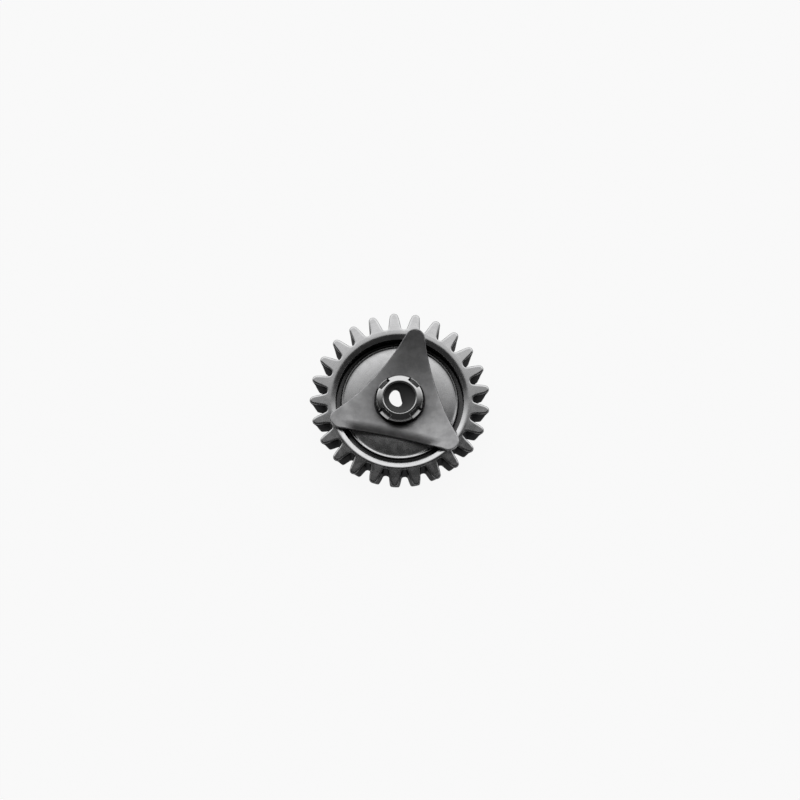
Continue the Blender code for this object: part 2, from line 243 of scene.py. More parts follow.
def joined(name, points, faces):
    """A mesh object from points in millimetres. Points that coincide are welded."""
    mesh = bpy.data.meshes.new(name)
    mesh.from_pydata([[c * MM for c in point] for point in points], [], faces)
    shape = bmesh.new()
    shape.from_mesh(mesh)
    bmesh.ops.remove_doubles(shape, verts=shape.verts[:], dist=WELD_DISTANCE * MM)
    bmesh.ops.dissolve_degenerate(shape, edges=shape.edges[:], dist=SLIVER_LENGTH * MM)
    bmesh.ops.recalc_face_normals(shape, faces=shape.faces[:])
    for face in shape.faces:
        face.smooth = True
    shape.to_mesh(mesh)
    shape.free()
    piece = bpy.data.objects.new(name, mesh)
    bpy.context.scene.collection.objects.link(piece)
    weighted = piece.modifiers.new("Weighted normals", "WEIGHTED_NORMAL")
    weighted.weight = FACE_WEIGHT
    return piece


class Skin:
    """Collects rows of points and the faces between them."""

    def __init__(self):
        self.points = []
        self.faces = []

    def row(self, points):
        """Adds points and gives their numbers."""
        first = len(self.points)
        self.points += [tuple(point) for point in points]
        return range(first, len(self.points))

    def bridge(self, one, two, closed=True):
        """Four-sided faces between two rows of equal length."""
        count = len(one)
        for i in range(count if closed else count - 1):
            j = (i + 1) % count
            self.faces.append((one[i], one[j], two[j], two[i]))

    def loft(self, rows, closed=True):
        """Adds rows of equal length and joins each to the next."""
        made = [self.row(points) for points in rows]
        for one, two in zip(made, made[1:]):
            self.bridge(one, two, closed)


def rounded(corners, steps=4):
    """A profile through corners given as (radius, height, rounding)."""
    points = []
    for i, (r, z, round_by) in enumerate(corners):
        here = Vector((r, z))
        if not round_by or i in (0, len(corners) - 1):
            points.append(here)
            continue
        before = (Vector(corners[i - 1][:2]) - here).normalized()
        after = (Vector(corners[i + 1][:2]) - here).normalized()
        half = before.angle(after) / 2
        cut = round_by / math.tan(half)
        centre = here + (before + after).normalized() * (round_by / math.sin(half))
        start = (here + before * cut - centre).normalized()
        end = (here + after * cut - centre).normalized()
        for step in range(steps + 1):
            points.append(centre + start.slerp(end, step / steps) * round_by)
    return points


# The wheel


def half_tooth():
    """Right half of a tooth, from its tip on +Y to the middle of the gap: points with their outward directions,
    and the number of the tooth's foot among them."""
    tip_centre = Vector((0, TIP_RADIUS - TIP_ROUND))
    half = TOOTH_THICKNESS / 2
    pitch_point = Vector((half, math.sqrt(PITCH_RADIUS**2 - half**2)))
    span = pitch_point - tip_centre
    along = (FLANK_RADIUS - TIP_ROUND) ** 2 - FLANK_RADIUS**2 + span.length_squared
    along /= 2 * span.length
    across = math.sqrt((FLANK_RADIUS - TIP_ROUND) ** 2 - along**2)
    unit = span.normalized()
    side = Vector((-unit.y, unit.x))
    centres = [tip_centre + unit * along + side * across, tip_centre + unit * along - side * across]
    flank_centre = min(centres, key=lambda point: point.x)
    flank_start = math.atan2(*reversed(tip_centre - flank_centre))
    at_pitch = pitch_point - flank_centre
    flank_end = math.atan2(at_pitch.y, at_pitch.x)
    outline = arc(tip_centre, TIP_ROUND, math.pi / 2, flank_start, TIP_STEPS)
    outline += arc(flank_centre, FLANK_RADIUS, flank_start, flank_end, FLANK_STEPS)[1:]
    outward = at_pitch.normalized()
    downward = Vector((outward.y, -outward.x))
    fillet_line = pitch_point + outward * ROOT_FILLET
    reach = ROOT_RADIUS + ROOT_FILLET
    drop = -fillet_line.dot(downward)
    drop -= math.sqrt(drop**2 - fillet_line.length_squared + reach**2)
    fillet_centre = fillet_line + downward * drop
    start = math.atan2(-outward.y, -outward.x)
    end = math.atan2(-fillet_centre.y, -fillet_centre.x)
    straight = fillet_line + downward * drop - outward * ROOT_FILLET
    shares = [step / STRAIGHT_STEPS for step in range(1, STRAIGHT_STEPS)]
    outline += [(pitch_point.lerp(straight, share), outward) for share in shares]
    fillet = arc(fillet_centre, ROOT_FILLET, start, end, FILLET_STEPS)
    outline += [(point, -direction) for point, direction in fillet]
    base = len(outline) - 1
    foot = outline[-1][0]
    foot_angle = math.atan2(foot.x, foot.y)
    for step in range(1, GAP_STEPS + 1):
        angle = foot_angle + (math.pi / TEETH - foot_angle) * step / GAP_STEPS
        direction = Vector((math.sin(angle), math.cos(angle)))
        outline.append((direction * ROOT_RADIUS, direction))
    return outline, base


def crest_point(angle):
    """A point of the rim's rounded crest, as radius and height, from its angle above the horizontal."""
    return Vector((CREST_RADIUS, CREST_Z - CREST_ROUND)) + polar(CREST_ROUND, angle)


def face_height(radius):
    """Height of the crest's outer side and of the teeth's upper faces, which fall outwards from it."""
    slope = math.atan2(CREST_Z - WHEEL_HEIGHT, TIP_RADIUS - CREST_RADIUS)
    start = crest_point(math.pi / 2 - slope)
    if radius <= start.x:
        return CREST_Z - CREST_ROUND + math.sqrt(CREST_ROUND**2 - (radius - CREST_RADIUS) ** 2)
    share = (radius - start.x) / (TIP_RADIUS - TIP_CHAMFER - start.x)
    return start.y + (WHEEL_HEIGHT - start.y) * share


def drawn_in(point, share):
    """A point of the tooth outline, kept inside the cone that tops the teeth towards the underside."""
    radius = point.length
    limit = TIP_RADIUS - TIP_DRAW * share
    corner = TIP_CORNER * min(TIP_CORNER_GROWTH * share, 1)
    spare = limit - radius
    kept = limit - (spare + math.sqrt(spare**2 + corner**2)) / 2
    return point * (kept / radius)


def edge_round(point):
    """Rounding of the upper edge: small in the gaps and full along the teeth."""
    out = min(max((point.length - ROOT_RADIUS) / (PITCH_RADIUS - ROOT_RADIUS), 0), 1)
    return ROOT_EDGE_ROUND + (TOOTH_EDGE_ROUND - ROOT_EDGE_ROUND) * out * (2 - out)


def all_teeth(half):
    """One ring of the whole outline from half a tooth's (x, y, z), anticlockwise from a gap's middle."""
    right = list(reversed(half))
    left = [(-x, y, z) for x, y, z in half[1:-1]]
    ring = []
    for tooth in range(TEETH):
        turn = TOOTH_PHASE + math.tau * tooth / TEETH - math.pi / 2
        c, s = math.cos(turn), math.sin(turn)
        ring += [(x * c - y * s, x * s + y * c, z) for x, y, z in right + left]
    return ring


def tooth_faces(skin, half, base, height):
    """Fills each tooth's face with rows across it, and returns the angles of all feet and gaps in one ring."""
    columns = [step / FACE_STEPS for step in range(-FACE_STEPS, FACE_STEPS + 1)]
    feet = [math.atan2(x, y) for x, y in half]
    for tooth in range(TEETH):
        turn = TOOTH_PHASE + math.tau * tooth / TEETH
        rows = []
        for (x, y), spread in list(zip(half, feet))[: base + 1]:
            radius = math.hypot(x, y)
            row = [polar(radius, turn + spread * c) for c in columns]
            rows.append([(p.x, p.y, height(radius)) for p in row])
        skin.loft(rows, closed=False)
    sector = [-angle for angle in reversed(feet[base + 1:])]
    sector += [feet[base] * c for c in columns]
    sector += feet[base + 1:-1]
    turns = [TOOTH_PHASE + math.tau * tooth / TEETH for tooth in range(TEETH)]
    return [turn + angle for turn in turns for angle in sector]


def wheel_profile():
    """The turned parts of the wheel as radius and height: the underside's ring, the recess, the hole, the web, its
    bead, the groove, the lip and the crest."""
    foot = drawn_in(Vector((ROOT_RADIUS, 0)), 1).x
    web_z = WEB_EDGE_Z - BEAD_HEIGHT
    points = rounded([
        (foot - UNDERSIDE_EDGE_ROUND, 0, 0),
        (RECESS_RADIUS, 0, RECESS_ROUND),
        (RECESS_RADIUS, RECESS_DEPTH, RECESS_ROUND),
        (WEB_HOLE_RADIUS, RECESS_DEPTH, HOLE_ROUND),
        (WEB_HOLE_RADIUS, web_z + WEB_CROWN, HOLE_ROUND),
        (WEB_HOLE_RADIUS + HOLE_LAND, web_z + WEB_CROWN, 0),
    ])
    inner = WEB_RADIUS - 2 * BEAD_WIDTH
    outer = WEB_RADIUS - WEB_EDGE_LAND
    for step in range(1, WEB_STEPS + 1):
        share = step / WEB_STEPS
        radius = WEB_HOLE_RADIUS + HOLE_LAND + (inner - WEB_HOLE_RADIUS - HOLE_LAND) * share
        points.append(Vector((radius, web_z + WEB_CROWN * (1 - share**2))))
    for step in range(1, BEAD_STEPS + 1):
        turn = math.pi * step / BEAD_STEPS
        radius = inner + (outer - inner) * step / BEAD_STEPS
        points.append(Vector((radius, web_z + BEAD_HEIGHT * (1 - math.cos(turn)) / 2)))
    lip_slope = math.atan2(CREST_Z - LIP_Z, CREST_RADIUS - LIP_RADIUS)
    edge = ROOT_RADIUS - ROOT_EDGE_ROUND
    leans = [lip_slope * (1 - step / CREST_STEPS) for step in range(CREST_STEPS + 1)]
    crest = [crest_point(math.pi / 2 + lean) for lean in leans]
    groove = rounded([
        (outer, WEB_EDGE_Z, 0),
        (WEB_RADIUS, WEB_EDGE_Z, WEB_EDGE_ROUND),
        (WEB_RADIUS, GROOVE_Z, GROOVE_ROUND),
        (LIP_RADIUS, GROOVE_Z, GROOVE_ROUND),
        (LIP_RADIUS, LIP_Z, LIP_ROUND),
        (crest[0].x, crest[0].y, 0),
    ])
    points += groove[1:-1]
    points += [groove[-2].lerp(crest[0], share) for share in LIP_SHARES]
    points += crest
    for share in RIM_SHARES:
        radius = CREST_RADIUS + (edge - CREST_RADIUS) * share
        points.append(Vector((radius, face_height(radius))))
    return points


def rim_offset(radius):
    """How far a turned ring stands towards +Y: not at all at the web and the teeth, fully from lip to crest."""
    edge = ROOT_RADIUS - ROOT_EDGE_ROUND
    inside = (radius - WEB_RADIUS) / (LIP_RADIUS - WEB_RADIUS)
    outside = (edge - radius) / (edge - CREST_RADIUS)
    return RIM_OFFSET * max(min(inside, outside, 1), 0)


def wheel():
    """The driving wheel: its toothed outline with softened edges, and all that is turned inside it."""
    skin = Skin()
    outline, base = half_tooth()
    inset = [point - direction * edge_round(point) for point, direction in outline]
    under = [drawn_in(point, 1) - direction * UNDERSIDE_EDGE_ROUND for point, direction in outline]
    upper_angles = tooth_faces(skin, inset, base, face_height)
    lower_angles = tooth_faces(skin, under, base, lambda radius: 0)

    rings = []
    for step in range(UPPER_EDGE_STEPS + 1):
        turn = math.pi / 2 * step / UPPER_EDGE_STEPS
        ring = []
        for point, direction in outline:
            moved = point - direction * edge_round(point) * (1 - math.sin(turn))
            fall = edge_round(point) * (1 - math.cos(turn))
            ring.append((moved.x, moved.y, face_height(moved.length) - fall))
        rings.append(all_teeth(ring))
    for step in range(1, WALL_STEPS):
        share = step / WALL_STEPS
        ring = []
        for point, direction in outline:
            top = face_height(point.length) - edge_round(point)
            moved = drawn_in(point, share)
            ring.append((moved.x, moved.y, top * (1 - share) + UNDERSIDE_EDGE_ROUND * share))
        rings.append(all_teeth(ring))
    for step in range(LOWER_EDGE_STEPS + 1):
        turn = math.pi / 2 * (1 - step / LOWER_EDGE_STEPS)
        ring = []
        for point, direction in outline:
            moved = drawn_in(point, 1) - direction * UNDERSIDE_EDGE_ROUND * (1 - math.sin(turn))
            ring.append((moved.x, moved.y, UNDERSIDE_EDGE_ROUND * (1 - math.cos(turn))))
        rings.append(all_teeth(ring))
    skin.loft(rings)

    profile = wheel_profile()
    rows = []
    for number, point in enumerate(profile):
        angles = lower_angles if number == 0 else upper_angles
        offset = rim_offset(point.x) if number else 0
        ring = [polar(point.x, angle) for angle in angles]
        rows.append([(p.x, p.y + offset, point.y) for p in ring])
    skin.loft(rows)
    return joined("wheel_surface", skin.points, skin.faces)


# The spring


def spring_sides():
    """Direction, distance and half length of the straight line that each long side bows in from."""
    sector = math.tau / SPRING_ARMS
    tip = SPRING_REACH - SPRING_TIP_ROUND
    normals = [polar(1, SPRING_PHASE + sector * (arm + 0.5)) for arm in range(SPRING_ARMS)]
    return normals, tip * math.cos(sector / 2) + SPRING_TIP_ROUND, tip * math.sin(sector / 2)


def spring_outline():
    """Three rounded tips joined by sides that bow in, anticlockwise: points and outward directions."""
    normals, straight, half_side = spring_sides()
    lean = math.atan2(2 * (straight - SPRING_WAIST), half_side)
    sector = math.tau / SPRING_ARMS
    points = []
    for arm, normal in enumerate(normals):
        middle = SPRING_PHASE + sector * arm
        centre = polar(SPRING_REACH - SPRING_TIP_ROUND, middle)
        turn = sector / 2 + lean
        tip = arc(centre, SPRING_TIP_ROUND, middle - turn, middle + turn, SPRING_TIP_STEPS)
        points += [point for point, direction in tip]
        start = points[-1]
        along = Vector((-normal.y, normal.x))
        reach, edge = -start.dot(along), start.dot(normal)
        for step in range(1, 2 * SPRING_SIDE_STEPS):
            share = step / SPRING_SIDE_STEPS - 1
            bow = SPRING_WAIST + (edge - SPRING_WAIST) * share**2
            points.append(along * (reach * share) + normal * bow)
    points = [point + SPRING_OFF_CENTRE for point in points]
    outline = []
    for before, point, after in zip(points[-1:] + points[:-1], points, points[1:] + points[:1]):
        along = (after - before).normalized()
        outline.append((point, Vector((along.y, -along.x))))
    return outline


def edge_roll(point):
    """How far the sheet is rolled down here by its long sides."""
    normals, straight, half_side = spring_sides()
    placed = point - SPRING_OFF_CENTRE
    drop = 0
    for normal, depth in zip(normals, SPRING_EDGE_DROPS):
        along = placed.dot(Vector((-normal.y, normal.x)))
        bow = (straight - SPRING_WAIST) * max(1 - (along / half_side) ** 2, 0)
        inside = straight - bow - placed.dot(normal)
        drop += depth * min(max(1 - inside / SPRING_EDGE_WIDTH, 0), 1) ** 2
    return drop


def spring_height(point):
    """Height of the sheet's underside: a dish that steepens outwards from the flat round the hole, its long sides
    rolled down where they don't cross the rim."""
    flat = SPRING_HOLE_RADIUS + COUNTERSINK_WIDTH
    radius = point.length
    out = max(radius - flat, 0) / (SPRING_CREST_RADIUS - flat)
    rise = SPRING_DISH * out * (out + SPRING_CUP) / (1 + SPRING_CUP)
    room = min(max((LIP_RADIUS - radius) / SPRING_EDGE_WIDTH, 0), 1)
    return SPRING_SEAT_Z + rise - edge_roll(point) * room


def spring():
    """The friction spring: one sheet with rounded edges and a countersunk hole."""
    skin = Skin()
    outline = spring_outline()
    rim = SPRING_HOLE_RADIUS + COUNTERSINK_WIDTH
    top, bottom = [], []
    for step in range(SHEET_ROWS + 1):
        share = (step / SHEET_ROWS) ** SHEET_SPACING
        row_top, row_bottom = [], []
        for point, direction in outline:
            inset = point - direction * SPRING_EDGE_ROUND
            bearing = point.normalized()
            upper = (bearing * rim).lerp(inset, share)
            lower = (bearing * SPRING_HOLE_RADIUS).lerp(inset, share)
            row_top.append((upper.x, upper.y, spring_height(upper) + SPRING_THICKNESS))
            row_bottom.append((lower.x, lower.y, spring_height(lower)))
        top.append(row_top)
        bottom.append(row_bottom)
    edge = []
    for step in range(1, SPRING_EDGE_STEPS):
        turn = math.pi * step / SPRING_EDGE_STEPS
        row = []
        for point, direction in outline:
            inset = point - direction * SPRING_EDGE_ROUND
            moved = inset + direction * SPRING_EDGE_ROUND * math.sin(turn) ** SPRING_EDGE_FULLNESS
            middle = spring_height(inset) + SPRING_THICKNESS / 2
            row.append((moved.x, moved.y, middle + SPRING_THICKNESS / 2 * math.cos(turn)))
        edge.append(row)
    skin.loft(top + edge + bottom[::-1] + top[:1])
    return joined("spring_surface", skin.points, skin.faces)


# The hub


def head_columns():
    """How the points round the hub are dealt out between two notch middles, as (kind, share along it): half a
    notch's flat, its inner corner, its side and its outer corner, then the lobe, and the same back again."""
    columns = [(kind, step / steps) for kind, steps in NOTCH_STEPS.items() for step in range(steps)]
    columns += [("lobe", step / LOBE_STEPS) for step in range(LOBE_STEPS)]
    back = reversed(NOTCH_STEPS.items())
    columns += [(kind, 1 - step / steps) for kind, steps in back for step in range(steps)]
    return columns


def head_point(kind, share, radius):
    """A point of the notched head's outline where its crown has this radius. X leads out through the notch's middle.
    Where the crown is too narrow for the notch to cut it, the points are dealt out on the circle."""
    half = NOTCH_WIDTH / 2
    corner = math.hypot(NECK_RADIUS, half)
    side = math.sqrt(max(radius**2 - half**2, 0)) - NECK_RADIUS
    deep = min(max(side / NOTCH_ROUND_DEPTH, 0), 1)
    inner_round = NOTCH_INNER_ROUND * deep
    outer_round = NOTCH_OUTER_ROUND * deep
    if kind == "flat":
        point = Vector((NECK_RADIUS, (half - inner_round) * share))
        return point if point.length < radius else point.normalized() * radius
    if radius <= corner:
        start = math.atan2(half, NECK_RADIUS)
        spread = math.pi / NOTCHES - start
        corners = ["inner", "side", "outer"]
        corner_spread = spread * CORNER_SHARE
        if kind in corners:
            return polar(radius, start + corner_spread * (corners.index(kind) + share))
        lobe_start = start + corner_spread * len(corners)
        return polar(radius, lobe_start + (start + spread - lobe_start) * 2 * share)
    if kind == "inner":
        turn = math.pi / 2 * share
        centre = Vector((NECK_RADIUS + inner_round, half - inner_round))
        return centre + Vector((-math.cos(turn), math.sin(turn))) * inner_round
    shoulder = radius - outer_round
    centre = Vector((math.sqrt(shoulder**2 - (half + outer_round) ** 2), half + outer_round))
    if kind == "side":
        return Vector((NECK_RADIUS + inner_round + (centre.x - NECK_RADIUS - inner_round) * share, half))
    bearing = math.atan2(centre.y, centre.x)
    if kind == "outer":
        turn = -math.pi / 2 + (bearing + math.pi / 2) * share
        return centre + polar(outer_round, turn)
    return polar(radius, bearing + (math.pi / NOTCHES - bearing) * 2 * share)


def head_row(radius, height, filled=0.0, rise=0.0):
    """The notched head's outline at one height. Its notches can be filled out to the circle by a share, and what
    fills them rises towards the neck's flat."""
    row = []
    columns = head_columns()
    for notch in range(NOTCHES):
        turn = NOTCH_PHASE + math.tau * notch / NOTCHES
        for number, (kind, share) in enumerate(columns):
            mirrored = number > len(columns) // 2 and kind != "lobe"
            if kind == "lobe" and share > 0.5:
                point = head_point(kind, 1 - share, radius)
                mirrored = True
            else:
                point = head_point(kind, share, radius)
            across = math.sqrt(max(radius**2 - point.y**2, 0)) - point.x
            lift = 0
            if filled:
                lift = rise * filled * min(max(across / (radius - NECK_RADIUS), 0), 1)
            point = Vector((point.x + across * filled, point.y))
            angle = math.atan2(point.y, point.x)
            if mirrored:
                angle = math.tau / NOTCHES - angle
            placed = polar(point.length, turn + angle)
            row.append((placed.x, placed.y, height + lift))
    return row


def even_row(radius, height):
    """A full circle with as many points as the head's outline, close to its bearings."""
    neck = NECK_RADIUS * INSIDE_NECK
    if radius <= NECK_RADIUS:
        return head_row(min(radius, neck), height)
    grown = radius / neck
    return [(x * grown, y * grown, height) for x, y, z in head_row(neck, height)]


def throat_radius(angle):
    """Distance from the throat's middle to its wall: round, with one side pressed in flat and its corners rounded."""
    turn = (angle - GRIP_ANGLE + math.pi) % math.tau - math.pi
    inset = GRIP_OFFSET - GRIP_ROUND
    rise = math.sqrt((THROAT_RADIUS - GRIP_ROUND) ** 2 - inset**2)
    if abs(turn) >= math.atan2(rise, inset):
        return THROAT_RADIUS
    if abs(math.tan(turn)) * GRIP_OFFSET <= rise and abs(turn) < math.pi / 2:
        return GRIP_OFFSET / math.cos(turn)
    centre = Vector((inset, rise))
    along = polar(1, abs(turn))
    reach = centre.dot(along)
    return reach + math.sqrt(max(reach**2 - centre.length_squared + GRIP_ROUND**2, 0))


def throat_row(outside, height):
    """The throat's outline, or one a little outside it."""
    row = []
    for x, y, z in even_row(THROAT_RADIUS, height):
        angle = math.atan2(y, x)
        point = polar(min(throat_radius(angle) + outside, THROAT_RADIUS), angle) + THROAT_OFFSET
        row.append((point.x, point.y, height))
    return row


def head_rows():
    """The riveted head from its mouth over the crown and down the lobes, with the notches' floors."""
    mouth_radius = BORE_RADIUS + MOUTH_CHAMFER * MOUTH_SHARE
    rows = [even_row(mouth_radius, HEAD_TOP_Z - MOUTH_DROP)]
    crown = rounded([
        (BORE_RADIUS + MOUTH_CHAMFER, HEAD_TOP_Z, 0),
        (CROWN_BEND.x, CROWN_BEND.y, CROWN_ROUND),
        (LOBE_RADIUS, HEAD_SHOULDER_Z, SHOULDER_ROUND),
        (LOBE_RADIUS, NOTCH_FLOOR_Z, 0),
    ], CROWN_STEPS)
    crown[1:1] = [crown[0].lerp(crown[1], share) for share in CROWN_SHARES]
    crown[-1:-1] = [crown[-2].lerp(crown[-1], share) for share in WALL_SHARES]
    rows += [head_row(point.x, point.y) for point in crown]
    for filled in NOTCH_FLOOR_SHARES:
        height = NOTCH_FLOOR_Z - NOTCH_FLOOR_FALL * filled
        rows.append(head_row(LOBE_RADIUS, height, filled, NOTCH_FLOOR_RISE))
    countersunk = (LOBE_RADIUS - SPRING_HOLE_RADIUS + SPRING_CLEARANCE) / COUNTERSINK_WIDTH
    lobe_bottom = SPRING_SEAT_Z + SPRING_THICKNESS * countersunk + SPRING_CLEARANCE
    for share in LOBE_WALL_SHARES:
        height = NOTCH_FLOOR_Z + (lobe_bottom - NOTCH_FLOOR_Z) * share
        rows.append(head_row(LOBE_RADIUS, height, 1))
    rows.append(head_row(LOBE_RADIUS * LOBE_UNDERCUT_SHARE, lobe_bottom - LOBE_UNDERCUT_DEPTH, 1))
    return rows


def seat_rows():
    """What the spring and the wheel hide: the neck, the seat, the flange and the wide way out of the bore."""
    neck_z = SPRING_SEAT_Z + SPRING_CLEARANCE
    rows = [even_row(NECK_RADIUS * INSIDE_NECK, neck_z)]
    below = rounded([
        (NECK_RADIUS, neck_z, 0),
        (NECK_RADIUS, SEAT_TOP_Z, NECK_ROUND),
        (SEAT_RADIUS, SEAT_TOP_Z, SEAT_ROUND),
        (SEAT_RADIUS, FLANGE_TOP_Z, SEAT_ROUND),
        (FLANGE_RADIUS, FLANGE_TOP_Z, TURNED_ROUND),
        (FLANGE_RADIUS, FLANGE_BOTTOM_Z, TURNED_ROUND),
        (EXIT_RADIUS, FLANGE_BOTTOM_Z, TURNED_ROUND),
        (EXIT_RADIUS, EXIT_TOP_Z, TURNED_ROUND),
        (BORE_RADIUS, EXIT_TOP_Z, TURNED_ROUND),
        (BORE_RADIUS, THROAT_BOTTOM_Z - LEDGE_FALL, TURNED_ROUND),
        (THROAT_RADIUS + THROAT_EDGE, THROAT_BOTTOM_Z, 0),
    ])
    return rows + [even_row(point.x, point.y) for point in below[1:]]


def throat_rows():
    """The throat with its softened ends, and the bore above it up to the mouth."""
    rows = [throat_row(outside, THROAT_BOTTOM_Z + inwards) for outside, inwards in THROAT_LIPS]
    rows += [throat_row(outside, THROAT_TOP_Z - inwards) for outside, inwards in reversed(THROAT_LIPS)]
    mouth = rounded([
        (THROAT_RADIUS + THROAT_EDGE, THROAT_TOP_Z, 0),
        (BORE_RADIUS, THROAT_TOP_Z + LEDGE_FALL, MOUTH_ROUND),
        (BORE_RADIUS, HEAD_TOP_Z - MOUTH_CHAMFER, MOUTH_ROUND),
        (BORE_RADIUS + MOUTH_CHAMFER * MOUTH_SHARE, HEAD_TOP_Z - MOUTH_DROP, 0),
    ])
    return rows + [even_row(point.x, point.y) for point in mouth]


def hub():
    """The hub: riveted head with its lobes, bore and throat, and the hidden seat and flange."""
    skin = Skin()
    skin.loft(head_rows() + seat_rows() + throat_rows())
    return joined("hub_surface", skin.points, skin.faces)


# Shaders


class Value:
    """A number that varies over a surface, with ordinary arithmetic."""

    def __init__(self, shader, socket):
        self.shader = shader
        self.socket = socket

    def __add__(self, other):
        return self.shader.maths("ADD", self, other)

    __radd__ = __add__

    def __mul__(self, other):
        return self.shader.maths("MULTIPLY", self, other)

    def __sub__(self, other):
        return self.shader.maths("SUBTRACT", self, other)

    def __rsub__(self, other):
        return self.shader.maths("SUBTRACT", other, self)


class Shader:
    """Builds one node tree. Sockets take plain numbers or values that vary."""

    def __init__(self, tree):
        self.tree = tree
        tree.nodes.clear()

    def node(self, kind, settings=None, sockets=None, output=0):
        """Makes a node and gives one of its outputs, by number or name."""
        made = self.tree.nodes.new(kind)
        for name, value in (settings or {}).items():
            setattr(made, name, value)
        for name, value in (sockets or {}).items():
            if isinstance(value, Value):
                self.tree.links.new(value.socket, made.inputs[name])
            else:
                made.inputs[name].default_value = value
        return Value(self, made.outputs[output]) if len(made.outputs) else None

    def maths(self, operation, one, two=0.0):
        return self.node("ShaderNodeMath", {"operation": operation}, {0: one, 1: two})

    def smooth(self, value, low, high):
        """0 below low, 1 above high, and a soft step between."""
        settings = {"interpolation_type": "SMOOTHSTEP"}
        sockets = {"Value": value, "From Min": low, "From Max": high}
        return self.node("ShaderNodeMapRange", settings, sockets)

    def colours(self, share, one, two):
        """A mix of two colours. Their sockets share their names with others, so they are taken by number."""
        sockets = {0: share, 6: one, 7: two}
        return self.node("ShaderNodeMix", {"data_type": "RGBA"}, sockets, output=2)

    def noise(self, vector, scale, detail=3.0, roughness=0.5):
        sockets = {"Vector": vector, "Scale": scale, "Detail": detail, "Roughness": roughness}
        return self.node("ShaderNodeTexNoise", {}, sockets)

    def split(self, vector):
        return [self.node("ShaderNodeSeparateXYZ", {}, {0: vector}, output=i) for i in range(3)]

    def combine(self, x, y, z):
        return self.node("ShaderNodeCombineXYZ", {}, {0: x, 1: y, 2: z})

    def place(self):
        """Position on the piece in millimetres."""
        where = self.node("ShaderNodeTexCoord", output="Object")
        return self.node("ShaderNodeVectorMath", {"operation": "SCALE"}, {0: where, "Scale": 1 / MM})

    def bump(self, height, depth, below=None):
        sockets = {"Height": height, "Strength": 1.0, "Distance": depth * MM}
        if below:
            sockets["Normal"] = below
        return self.node("ShaderNodeBump", {}, sockets)


def new_material(name):
    material = bpy.data.materials.new(name)
    material.use_nodes = True
    return material, Shader(material.node_tree)


def finish_steel(shader, colour, roughness, normal, edge_tint):
    """A metal surface. The edge tint is the share of light that it keeps at a glancing view, which is low on
    steel with a fine matt cut."""
    sockets = {"Base Color": colour, "Metallic": 1.0, "Roughness": roughness, "Normal": normal,
               "Specular Tint": (edge_tint, edge_tint, edge_tint, 1)}
    surface = shader.node("ShaderNodeBsdfPrincipled", {}, sockets)
    shader.node("ShaderNodeOutputMaterial", {}, {"Surface": surface})


def radius_of(shader, place):
    """Distance from the axis, with the place's own x, y and z."""
    x, y, z = shader.split(place)
    flat = shader.combine(x, y, 0.0)
    return shader.node("ShaderNodeVectorMath", {"operation": "LENGTH"}, {0: flat}, output="Value"), x, y, z


def upward(shader):
    """The surface direction's share along the axis."""
    normal = shader.node("ShaderNodeNewGeometry", output="Normal")
    return shader.split(normal)[2]


def turned_wheel_steel():
    """Fine turning lines on rim, lip and web, soft clouds in the polish, and painted shade on the steep flanks and in
    the groove.
    """
    material, s = new_material("turned_wheel_steel")
    place = s.place()
    radius, x, y, z = radius_of(s, place)
    turning = s.combine(radius * WHEEL_LINES, x * WHEEL_LINE_WAVER, y * WHEEL_LINE_WAVER)
    lines = s.noise(turning, scale=1.0, detail=2.0)
    grain = s.noise(place, scale=9.0, detail=1.0, roughness=0.4)
    clouds = s.noise(place, scale=3.2, detail=3.0)
    mottle = s.smooth(s.noise(place, scale=7.0, detail=1.0), low=0.35, high=0.70)
    flank = 1 - s.smooth(upward(s), low=0.45, high=0.75)
    # Where the groove lies, for its painted shade
    outside_web = s.smooth(radius, low=WEB_RADIUS - 0.018, high=WEB_RADIUS - 0.003)
    below_lip = 1 - s.smooth(z, low=LIP_Z - 0.070, high=LIP_Z - 0.035)
    inside_rim = 1 - s.smooth(radius, low=LIP_RADIUS + 0.040, high=LIP_RADIUS + 0.060)
    in_groove = outside_web * below_lip * inside_rim
    # Painted shade: the steep flanks and the groove are darkened towards the near black colour, standing in for the
    # shade that falls there
    flank_shade = flank * (FLANK_SHADE_SHARE - in_groove * GROOVE_WALL_SHADE_LESS)
    dark = s.maths("MAXIMUM", flank_shade, in_groove * GROOVE_SHADE_SHARE)
    face = s.colours(clouds, WHEEL_DARKER, WHEEL_LIGHTER)
    colour = s.colours(dark, face, WHEEL_PAINTED_SHADE)
    roughness = 0.20 + lines * 0.05 + mottle * 0.07 + flank * 0.12
    turned = s.bump(lines, depth=0.0006)
    finish_steel(s, colour, roughness, s.bump(grain, depth=0.0005, below=turned), WHEEL_EDGE_TINT)
    return material


def polished_hub_steel():
    """Polished head with faint turning lines, and painted shade on its outer wall and inside the bore."""
    material, s = new_material("polished_hub_steel")
    place = s.place()
    radius, x, y, z = radius_of(s, place)
    lines = s.noise(s.combine(radius * HUB_LINES, x, z * HUB_WALL_LINES), scale=1.0, detail=2.0)
    grain = s.noise(place, scale=16.0, detail=2.0, roughness=0.5)
    # Painted shade: the bore and the steep outer wall are darkened towards the near black colour
    bore = 1 - s.smooth(radius, low=BORE_RADIUS - 0.002, high=BORE_RADIUS + 0.010)
    steep = 1 - s.smooth(upward(s), low=0.45, high=0.85)
    wall = steep * s.smooth(radius, low=NECK_RADIUS + 0.020, high=NECK_RADIUS + 0.040)
    dark = s.maths("MAXIMUM", bore, wall * HEAD_WALL_SHADE_SHARE)
    colour = s.colours(dark, HUB_POLISHED, HUB_PAINTED_SHADE)
    roughness = 0.12 + lines * 0.06 + grain * 0.05 + bore * 0.35
    turned = s.bump(lines, depth=0.0003)
    finish_steel(s, colour, roughness, s.bump(grain, depth=0.0003, below=turned), SATIN_EDGE_TINT)
    return material


